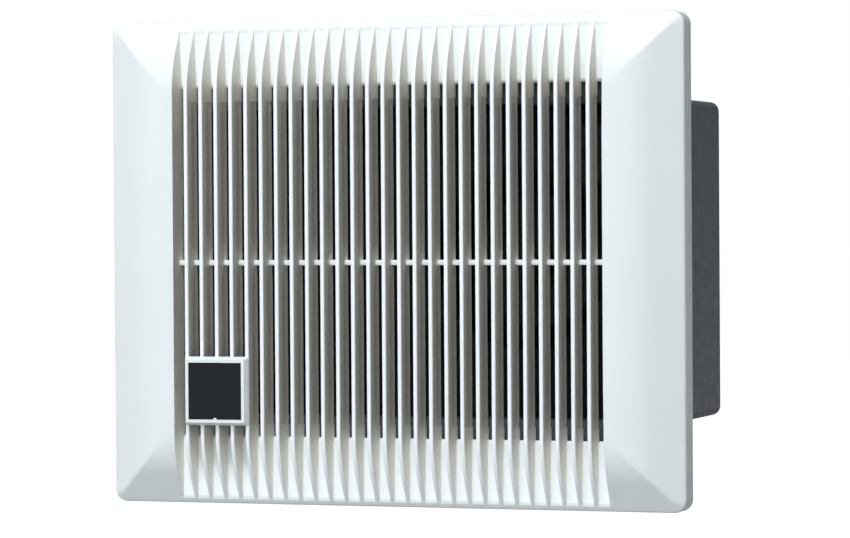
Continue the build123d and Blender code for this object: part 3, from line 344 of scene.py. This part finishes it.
def panel_z_lines():
    outer = edge_lines(HALF_H)
    outer = [z for z in outer if z > RELIEF_Z + 0.5]
    outer += [RELIEF_Z, 83.0]
    outer += step_lines(BOSS_Z, BOSS_HALF_H) + [BOSS_Z, 20.0, 40.0]
    lines = {round(s * z, 4) for z in outer for s in (-1, 1)}
    for sign, through in ((1, THROUGH_TOP), (-1, THROUGH_LOW)):
        lines = {z for z in lines if not 0 < sign * z - through < FLOOR_END_RUN}
        lines |= {round(sign * (through + FLOOR_END_RUN * k / 6), 4) for k in range(7)}
    lines.add(0.0)
    return sorted(lines)


def panel_shell():
    xs = panel_x_lines()
    zs = panel_z_lines()

    def solid(i, j):
        x = (xs[i] + xs[i + 1]) / 2
        z = (zs[j] + zs[j + 1]) / 2
        if abs(x) > FIELD_X:
            return True
        if abs(z) < RELIEF_Z:
            return False
        return not (slot_at(x) > 0 and abs(z) < through_z(z))

    return grid_sheet(xs, zs, front_depth, back_depth, solid, round_corner)


def fin_section():
    """Half-outline of an open fin from its nose back, as (half width, depth)."""
    half = (PITCH - SLOT_W) / 2
    front = [(half - t, nose(t)) for t in NOSE_STEPS[::-1]]
    rear = [
        (half, FIN_MID_DEPTH),
        (half, RELIEF_DEPTH - 0.15),
        (half - 0.06, RELIEF_DEPTH),
        (half - RELIEF, RELIEF_DEPTH + 0.1),
        (half - RELIEF, FIN_DEPTH - 0.3),
        (half - RELIEF - 0.2, FIN_DEPTH),
    ]
    return front + rear


def open_fins(verts, faces):
    """27 upright strips between the two groove zones."""
    half = fin_section()
    loop = half + [(-w, d) for w, d in reversed(half)]
    levels = [-RELIEF_Z, -40.0, 0.0, 40.0, RELIEF_Z]
    for centre in FIN_CENTRES:
        base = len(verts)
        count = len(loop)
        for z in levels:
            verts += [(centre + w, FRONT_Y + d, z) for w, d in loop]
        for k in range(len(levels) - 1):
            for i in range(count):
                n = (i + 1) % count
                row, above = base + k * count, base + (k + 1) * count
                faces.append((row + i, row + n, above + n, above + i))
        faces.append(tuple(range(base, base + count))[::-1])
        top = base + (len(levels) - 1) * count
        faces.append(tuple(range(top, top + count)))


def bar_segments(verts, faces):
    """Cross bar, one short length between each pair of fins, with eased front edges."""
    round_r = BAR_EDGE_R
    section = [
        (-BAR_HALF, FIN_DEPTH), (-BAR_HALF, RELIEF_DEPTH + round_r),
        (-BAR_HALF + round_r * 0.3, RELIEF_DEPTH + round_r * 0.3),
        (-BAR_HALF + round_r, RELIEF_DEPTH),
        (BAR_HALF - round_r, RELIEF_DEPTH),
        (BAR_HALF - round_r * 0.3, RELIEF_DEPTH + round_r * 0.3),
        (BAR_HALF, RELIEF_DEPTH + round_r), (BAR_HALF, FIN_DEPTH),
    ]
    for centre in SLOT_CENTRES:
        base = len(verts)
        count = len(section)
        for side in (-1, 1):
            reach = SLOT_W / 2 + RELIEF + 0.02
            verts += [(centre + side * reach, FRONT_Y + d, z) for z, d in section]
        for i in range(count):
            n = (i + 1) % count
            faces.append((base + i, base + n, base + count + n, base + count + i))
        faces.append(tuple(range(base, base + count))[::-1])
        faces.append(tuple(range(base + count, base + 2 * count)))


def build_panel():
    verts, faces = panel_shell()
    open_fins(verts, faces)
    bar_segments(verts, faces)
    panel = new_object("front_grille", verts, faces, smooth_angle=32.0)
    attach(panel, "front_panel")
    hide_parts("grille_panel")
    return panel


# ---- materials

def material(name, base, roughness, metallic=0.0):
    """Principled material with its nodes, ready for detail to be added."""
    mat = bpy.data.materials.new(name)
    mat.use_nodes = True
    shader = mat.node_tree.nodes["Principled BSDF"]
    shader.inputs["Base Color"].default_value = (*base, 1.0)
    shader.inputs["Roughness"].default_value = roughness
    shader.inputs["Metallic"].default_value = metallic
    return mat, shader


def add_node(mat, kind, **inputs):
    node = mat.node_tree.nodes.new(kind)
    for key, value in inputs.items():
        node.inputs[key.replace("_", " ")].default_value = value
    return node


def link(mat, source, target):
    mat.node_tree.links.new(source, target)


def object_place(mat):
    """Texture space in metres, fixed to the piece."""
    return add_node(mat, "ShaderNodeTexCoord").outputs["Object"]


def noise(mat, scale, detail=3.0, rough=0.5):
    node = add_node(mat, "ShaderNodeTexNoise", Scale=scale, Detail=detail, Roughness=rough)
    link(mat, object_place(mat), node.inputs["Vector"])
    return node.outputs["Fac"]


def ramp(mat, source, stops):
    node = mat.node_tree.nodes.new("ShaderNodeValToRGB")
    elements = node.color_ramp.elements
    while len(elements) < len(stops):
        elements.new(0.5)
    for element, (place, colour) in zip(elements, stops):
        element.position = place
        element.color = (*colour, 1.0)
    link(mat, source, node.inputs["Fac"])
    return node.outputs["Color"]


def bump(mat, shader, height, strength, distance):
    node = add_node(mat, "ShaderNodeBump", Strength=strength, Distance=distance)
    link(mat, height, node.inputs["Height"])
    link(mat, node.outputs["Normal"], shader.inputs["Normal"])


def moulded_plastic(name, base, roughness, grain=2600.0, depth=0.00004, vary=0.04, strength=0.25):
    """Moulded plastic: slight colour drift, uneven gloss and a fine mould texture."""
    mat, shader = material(name, base, roughness)
    lighter = tuple(min(1.0, c * (1 + vary)) for c in base)
    darker = tuple(c * (1 - vary) for c in base)
    drift = ramp(mat, noise(mat, 18.0, 4.0), [(0.3, darker), (0.7, lighter)])
    link(mat, drift, shader.inputs["Base Color"])
    low, high = max(0.0, roughness - 0.06), min(1.0, roughness + 0.06)
    gloss = ramp(mat, noise(mat, 160.0, 3.0), [(0.3, (low,) * 3), (0.7, (high,) * 3)])
    link(mat, gloss, shader.inputs["Roughness"])
    bump(mat, shader, noise(mat, grain, 2.0, 0.6), strength, depth)
    return mat


def metal(name, base, roughness, stretch=(1.0, 1.0, 1.0), grain=900.0):
    """Metal with fine scratches drawn along one direction."""
    mat, shader = material(name, base, roughness, metallic=1.0)
    mapping = mat.node_tree.nodes.new("ShaderNodeMapping")
    mapping.inputs["Scale"].default_value = stretch
    link(mat, object_place(mat), mapping.inputs["Vector"])
    lines = add_node(mat, "ShaderNodeTexNoise", Scale=grain, Detail=4.0, Roughness=0.6)
    link(mat, mapping.outputs["Vector"], lines.inputs["Vector"])
    lighter = tuple(min(1.0, c * 1.1) for c in base)
    darker = tuple(c * 0.85 for c in base)
    tone = ramp(mat, noise(mat, 60.0, 4.0), [(0.3, darker), (0.7, lighter)])
    link(mat, tone, shader.inputs["Base Color"])
    low, high = max(0.02, roughness - 0.1), min(1.0, roughness + 0.12)
    gloss = ramp(mat, lines.outputs["Fac"], [(0.3, (low,) * 3), (0.7, (high,) * 3)])
    link(mat, gloss, shader.inputs["Roughness"])
    bump(mat, shader, lines.outputs["Fac"], 0.15, 0.00003)
    return mat


def laminated(name, base):
    """Steel sheets stacked along Y, seen as fine lines on the sides."""
    mat, shader = material(name, base, 0.45, metallic=1.0)
    wave = mat.node_tree.nodes.new("ShaderNodeTexWave")
    wave.wave_type = "BANDS"
    wave.bands_direction = "Y"
    wave.inputs["Scale"].default_value = 320.0
    wave.inputs["Distortion"].default_value = 0.2
    link(mat, object_place(mat), wave.inputs["Vector"])
    tone = ramp(mat, wave.outputs["Fac"], [(0.0, tuple(c * 0.6 for c in base)), (1.0, base)])
    link(mat, tone, shader.inputs["Base Color"])
    bump(mat, shader, wave.outputs["Fac"], 0.4, 0.00008)
    return mat


def cellular(name, base, scale=1500.0):
    """Closed-cell foam."""
    mat, shader = material(name, base, 0.9)
    cells = add_node(mat, "ShaderNodeTexVoronoi", Scale=scale)
    link(mat, object_place(mat), cells.inputs["Vector"])
    lighter = tuple(min(1.0, c * 1.8 + 0.01) for c in base)
    tone = ramp(mat, cells.outputs["Distance"], [(0.1, base), (0.8, lighter)])
    link(mat, tone, shader.inputs["Base Color"])
    bump(mat, shader, cells.outputs["Distance"], 0.6, 0.0003)
    return mat


def dull(mat, level):
    """Lowers a plastic's surface reflection, as on fine-grained black mouldings; on the casing,
    wheel and terminal parts it also deepens their painted shade.
    """
    mat.node_tree.nodes["Principled BSDF"].inputs["Specular IOR Level"].default_value = level
    return mat


def banded(mat, end_colour, axis, start, stop):
    """Shifts a plastic's colour towards another with the distance from the middle along an axis."""
    tree = mat.node_tree
    shader = tree.nodes["Principled BSDF"]
    middle = shader.inputs["Base Color"].links[0].from_socket
    split = tree.nodes.new("ShaderNodeSeparateXYZ")
    link(mat, object_place(mat), split.inputs["Vector"])
    height = tree.nodes.new("ShaderNodeMath")
    height.operation = "ABSOLUTE"
    link(mat, split.outputs[axis], height.inputs[0])
    share = tree.nodes.new("ShaderNodeMapRange")
    share.interpolation_type = "SMOOTHSTEP"
    share.inputs["From Min"].default_value = start
    share.inputs["From Max"].default_value = stop
    link(mat, height.outputs["Value"], share.inputs["Value"])
    mix = tree.nodes.new("ShaderNodeMix")
    mix.data_type = "RGBA"
    link(mat, share.outputs["Result"], mix.inputs["Factor"])
    link(mat, middle, mix.inputs["A"])
    mix.inputs["B"].default_value = (*end_colour, 1.0)
    link(mat, mix.outputs["Result"], shader.inputs["Base Color"])
    return mat


def build_materials():
    return {
        "panel_white": moulded_plastic("panel_white", PANEL_BASE, 0.45, vary=0.01),
        # painted light: the fins' fronts are a lighter white than the panel's plastic, easing back
        # to it near the fin ends
        "fin_lit_white": banded(
            moulded_plastic("fin_lit_white", FIN_LIT_BASE, 0.45, vary=0.01),
            PANEL_BASE, "Z", *FIN_LIT_END_BAND,
        ),
        # painted shade: the groove walls are a darker taupe than the panel's plastic, painted
        # lighter deeper in and towards the slot ends as painted light
        "groove_wall_shading": banded(
            banded(
                moulded_plastic("groove_wall_shading", WALL_SHADE_BASE, 0.6, vary=0.05),
                WALL_DEEP_LIT_BASE, "Y", *WALL_LIT_DEPTH_BAND,
            ),
            WALL_END_LIT_BASE, "Z", *WALL_LIT_END_BAND,
        ),
        # painted light: the groove floors are a brighter white than the panel's plastic
        "groove_floor_lit": moulded_plastic("groove_floor_lit", GROOVE_FLOOR_LIT_BASE, 0.5, vary=0.01),
        "badge_dark": dull(
            moulded_plastic("badge_dark", (0.006, 0.007, 0.010), 0.5, vary=0.1), 0.3
        ),
        "housing_grey": moulded_plastic(
            "housing_grey", (0.078, 0.09, 0.1), 0.5, vary=0.015, strength=0.12
        ),
        # painted shade: the scroll casing is near-black and dulled so the housing's inside behind
        # the slots looks dark
        "casing_black": dull(
            moulded_plastic("casing_black", (0.004, 0.004, 0.0045), 0.7), 0.12
        ),
        "spigot_grey": moulded_plastic("spigot_grey", (0.07, 0.08, 0.088), 0.5, grain=1500.0),
        "flap_plastic": moulded_plastic("flap_plastic", (0.30, 0.31, 0.32), 0.45),
        # painted shade: the fan wheel and the terminal parts are near-black and dulled, darkening
        # the inside behind the slots
        "wheel_plastic": dull(
            moulded_plastic("wheel_plastic", (0.006, 0.006, 0.007), 0.6), 0.15
        ),
        "terminal_plastic": dull(
            moulded_plastic("terminal_plastic", (0.006, 0.006, 0.007), 0.6), 0.2
        ),
        "nylon": moulded_plastic("nylon", (0.62, 0.60, 0.54), 0.4, vary=0.03),
        "lead_sheath": moulded_plastic("lead_sheath", (0.06, 0.06, 0.065), 0.5),
        "capacitor_case": moulded_plastic("capacitor_case", (0.42, 0.43, 0.43), 0.35),
        "rubber": moulded_plastic("rubber", (0.016, 0.016, 0.017), 0.75, grain=1200.0),
        "foam": cellular("foam", (0.035, 0.035, 0.038)),
        "black_steel": metal("black_steel", (0.02, 0.02, 0.021), 0.5),
        "zinc_steel": metal("zinc_steel", (0.60, 0.62, 0.64), 0.35),
        "spring_steel": metal("spring_steel", (0.45, 0.45, 0.46), 0.28, stretch=(1.0, 8.0, 1.0)),
        "cast_aluminium": metal("cast_aluminium", (0.66, 0.66, 0.67), 0.5, grain=500.0),
        "copper": metal("copper", (0.62, 0.25, 0.10), 0.3),
        "brass": metal("brass", (0.72, 0.50, 0.20), 0.3),
        "bronze": metal("bronze", (0.46, 0.30, 0.14), 0.5, grain=2500.0),
        "lamination": laminated("lamination", (0.22, 0.22, 0.23)),
    }


def paint_cad(materials):
    """Each CAD node takes its record slot's material."""
    for row in frame["record"]["subparts"]:
        obj = NODES[row["node"]]
        obj.data.materials.clear()
        obj.data.materials.append(materials[row["material_slot"]])
        shade(obj, 30.0)


def paint_panel(panel, materials):
    """Border, fins, groove walls and groove floors each take their own material: the fins and
    groove floors a lighter white as painted light, the groove walls a darker taupe as painted
    shade.
    """
    for name in PANEL_MATERIALS:
        panel.data.materials.append(materials[name])
    for polygon in panel.data.polygons:
        x, y, z = polygon.center / MM
        if abs(x) > FIELD_X + STEP:
            continue
        sunk = y - FRONT_Y - border_depth(edge_in(x, z))
        if abs(polygon.normal.x) > SIDE_FACING:
            polygon.material_index = PANEL_MATERIALS.index("groove_wall_shading")
        elif sunk > FLOOR_SUNK and polygon.normal.y < 0:
            polygon.material_index = PANEL_MATERIALS.index("groove_floor_lit")
        else:
            polygon.material_index = PANEL_MATERIALS.index("fin_lit_white")


# ---- camera, lights and surroundings

def camera_axes():
    forward = Vector((
        -math.sin(CAMERA_YAW) * math.cos(CAMERA_PITCH),
        math.cos(CAMERA_YAW) * math.cos(CAMERA_PITCH),
        -math.sin(CAMERA_PITCH),
    ))
    level = Vector((math.cos(CAMERA_YAW), math.sin(CAMERA_YAW), 0.0))
    upright = level.cross(forward)
    right = level * math.cos(CAMERA_ROLL) + upright * math.sin(CAMERA_ROLL)
    up = upright * math.cos(CAMERA_ROLL) - level * math.sin(CAMERA_ROLL)
    return right, up, forward


def build_camera():
    right, up, forward = camera_axes()
    target = Vector((0, FRONT_Y * MM, 0)) + right * AIM_RIGHT + up * AIM_UP
    place = target - forward * CAMERA_DISTANCE
    data = bpy.data.cameras.new("camera")
    data.lens = CAMERA_LENS
    data.sensor_width = 36.0
    data.clip_start = 0.05
    data.clip_end = 50.0
    camera = bpy.data.objects.new("camera", data)
    turn = Matrix((right, up, -forward)).transposed()
    camera.matrix_world = Matrix.Translation(place) @ turn.to_4x4()
    bpy.context.scene.collection.objects.link(camera)
    bpy.context.scene.camera = camera


def area_light(name, place, side, power):
    """Square soft light aimed at the object."""
    data = bpy.data.lights.new(name, "AREA")
    data.shape = "RECTANGLE"
    data.size, data.size_y = side, side
    data.energy = power
    data.color = COOL
    light = bpy.data.objects.new(name, data)
    direction = -Vector(place)
    turn = direction.to_track_quat("-Z", "Y")
    light.matrix_world = Matrix.Translation(place) @ turn.to_matrix().to_4x4()
    bpy.context.scene.collection.objects.link(light)


def build_floor():
    """Plain pale floor below the object, lit up to white away from it like a studio sweep."""
    corners = ((-1, -1), (1, -1), (1, 1), (-1, 1))
    verts = [(x * FLOOR_HALF, y * FLOOR_HALF, FLOOR_LEVEL) for x, y in corners]
    floor = new_object("studio_floor", verts, [(0, 1, 2, 3)], scale=1.0)
    mat, shader = material("floor_pale", (0.45, 0.45, 0.45), 0.9)
    shader.inputs["Emission Color"].default_value = (1, 1, 1, 1)
    flat = mat.node_tree.nodes.new("ShaderNodeVectorMath")
    flat.operation = "LENGTH"
    link(mat, object_place(mat), flat.inputs[0])
    rise = mat.node_tree.nodes.new("ShaderNodeMapRange")
    rise.interpolation_type = "SMOOTHSTEP"
    rise.inputs["From Min"].default_value = FLOOR_GLOW_START
    rise.inputs["From Max"].default_value = FLOOR_GLOW_FULL
    rise.inputs["To Min"].default_value = 0.0
    rise.inputs["To Max"].default_value = 1.0
    link(mat, flat.outputs["Value"], rise.inputs["Value"])
    link(mat, rise.outputs["Result"], shader.inputs["Emission Strength"])
    floor.data.materials.append(mat)


def build_world():
    """Soft ambient light, stronger from front and back than from the sides; white where seen."""
    world = bpy.data.worlds.new("studio")
    bpy.context.scene.world = world
    world.use_nodes = True
    tree = world.node_tree
    ambient = tree.nodes["Background"]
    place = tree.nodes.new("ShaderNodeTexCoord")
    split = tree.nodes.new("ShaderNodeSeparateXYZ")
    tree.links.new(place.outputs["Generated"], split.inputs["Vector"])
    ahead = tree.nodes.new("ShaderNodeMath")
    ahead.operation = "ABSOLUTE"
    tree.links.new(split.outputs["Y"], ahead.inputs[0])
    level = tree.nodes.new("ShaderNodeMapRange")
    level.inputs["To Min"].default_value = AMBIENT_SIDE
    level.inputs["To Max"].default_value = AMBIENT_FRONT
    tree.links.new(ahead.outputs["Value"], level.inputs["Value"])
    tree.links.new(level.outputs["Result"], ambient.inputs["Strength"])
    ambient.inputs["Color"].default_value = (*COOL, 1)
    white = tree.nodes.new("ShaderNodeBackground")
    white.inputs["Color"].default_value = (1, 1, 1, 1)
    rays = tree.nodes.new("ShaderNodeLightPath")
    mix = tree.nodes.new("ShaderNodeMixShader")
    tree.links.new(rays.outputs["Is Camera Ray"], mix.inputs["Fac"])
    tree.links.new(ambient.outputs["Background"], mix.inputs[1])
    tree.links.new(white.outputs["Background"], mix.inputs[2])
    tree.links.new(mix.outputs["Shader"], tree.nodes["World Output"].inputs["Surface"])


def build_studio():
    build_world()
    build_floor()
    for row in AREA_LIGHTS:
        area_light(*row)
    scene = bpy.context.scene
    scene.view_settings.view_transform = "Standard"
    scene.view_settings.look = "None"


build_camera()
build_studio()
MATERIALS = build_materials()
paint_cad(MATERIALS)
panel_object = build_panel()
paint_panel(panel_object, MATERIALS)
